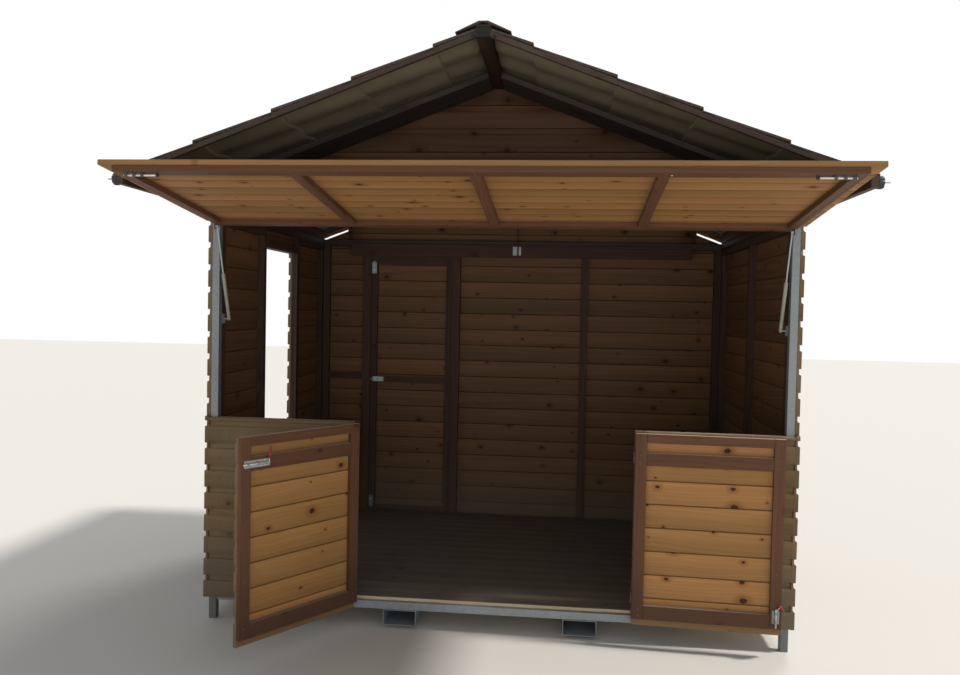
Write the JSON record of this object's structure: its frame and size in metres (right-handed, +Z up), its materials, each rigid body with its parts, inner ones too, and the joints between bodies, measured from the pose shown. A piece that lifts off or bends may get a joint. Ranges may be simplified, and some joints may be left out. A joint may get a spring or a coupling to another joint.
{
  "type": "timber clad market stall with a top-hung serving hatch",
  "caption": "Gabled shiplap market stall on a galvanised steel frame, with a raised serving hatch, two half-height front leaves, a side doorway, a boarded back door and a tile-effect roof.",
  "frame": {"origin": "middle of the footprint of the whole stall as it stands open, on the ground", "axes": "+X to the right seen from the front, +Y towards the back wall, +Z up"},
  "size_m": [3.23, 3.1192, 2.8472],
  "materials": {
    "galvanised": "dull galvanised",
    "dark_steel": "satin, worn",
    "weathered_boards": "weathered brown stain",
    "pine_boards": "planed golden pine",
    "brown_battens": "red-brown stain",
    "dark_timber": "dark brown stain",
    "floor_boards": "worn and dirty",
    "roof_sheet": "matt, granular"
  },
  "bodies": {
    "stall": {"base_frame": "galvanised", "fork_pockets": "galvanised", "corner_posts": "galvanised", "eaves_frame": "galvanised", "floor": "floor_boards", "front_left_wall": "weathered_boards", "front_right_wall": "weathered_boards", "front_wall_frames": "brown_battens", "left_wall_front": "weathered_boards", "left_wall_rear": "weathered_boards", "left_wall_head": "weathered_boards", "left_wall_frame": "dark_timber", "right_wall": "weathered_boards", "right_wall_frame": "dark_timber", "back_wall_left": "weathered_boards", "back_wall_right": "weathered_boards", "back_wall_head": "weathered_boards", "back_wall_frame": "dark_timber", "back_tie_rail": "dark_timber", "front_gable": "weathered_boards", "back_gable": "weathered_boards", "soffit_boards": "dark_timber", "ridge_beam": "dark_timber", "wall_plates": "dark_timber", "roof_edge_boards": "brown_battens", "left_roof": "roof_sheet", "right_roof": "roof_sheet", "ridge_cap": "roof_sheet", "fixed_fittings": "dark_steel"},
    "hatch": {"hatch_boards": "pine_boards", "hatch_frame": "brown_battens", "hatch_fittings": "dark_steel"},
    "left_leaf": {"left_leaf_boards": "pine_boards", "left_leaf_frame": "brown_battens", "left_leaf_fittings": "galvanised"},
    "right_leaf": {"right_leaf_boards": "pine_boards", "right_leaf_frame": "brown_battens", "right_leaf_fittings": "galvanised"},
    "back_door": {"back_door_boards": "weathered_boards", "back_door_frame": "dark_timber", "back_door_fittings": "dark_steel"},
    "left_cylinder": {"left_strut_cylinder": "galvanised"},
    "left_rod": {"left_strut_rod": "dark_steel"},
    "right_cylinder": {"right_strut_cylinder": "galvanised"},
    "right_rod": {"right_strut_rod": "dark_steel"}
  },
  "joints": [
    {"name": "hatch_hinge", "type": "hinge", "parent": "stall", "child": "hatch", "pos_m": [0, -0.51744, 2.138], "axis": [1, 0, 0], "range_deg": [0, 96.2]},
    {"name": "left_leaf_hinge", "type": "hinge", "parent": "stall", "child": "left_leaf", "pos_m": [-0.72, -0.51244, 0.6], "axis": [0, 0, -1], "range_deg": [-123.5, 54.5]},
    {"name": "right_leaf_hinge", "type": "hinge", "parent": "stall", "child": "right_leaf", "pos_m": [0.72, -0.51244, 0.6], "axis": [0, 0, 1], "range_deg": [-177, 1]},
    {"name": "back_door_hinge", "type": "hinge", "parent": "stall", "child": "back_door", "pos_m": [-0.472, 1.50756, 1.1], "axis": [0, 0, -1], "range_deg": [0, 110]},
    {"name": "left_strut_pivot", "type": "hinge", "parent": "stall", "child": "left_cylinder", "pos_m": [-1.43, -0.42244, 1.6], "axis": [-1, 0, 0], "range_deg": [0, 14.86]},
    {"name": "left_strut_slide", "type": "slide", "parent": "left_cylinder", "child": "left_rod", "axis": [0, 0.3216, -0.9469], "range_m": [0, 0.1546]},
    {"name": "right_strut_pivot", "type": "hinge", "parent": "stall", "child": "right_cylinder", "pos_m": [1.43, -0.42244, 1.6], "axis": [-1, 0, 0], "range_deg": [0, 14.86]},
    {"name": "right_strut_slide", "type": "slide", "parent": "right_cylinder", "child": "right_rod", "axis": [0, 0.3216, -0.9469], "range_m": [0, 0.1546]}
  ],
  "couplings": [
    {"joint": "left_strut_pivot", "follows": "hatch_hinge", "ratio": 0.15346},
    {"joint": "left_strut_slide", "follows": "hatch_hinge", "m_per_rad": 0.091673},
    {"joint": "right_strut_pivot", "follows": "hatch_hinge", "ratio": 0.15346},
    {"joint": "right_strut_slide", "follows": "hatch_hinge", "m_per_rad": 0.091673}
  ]
}
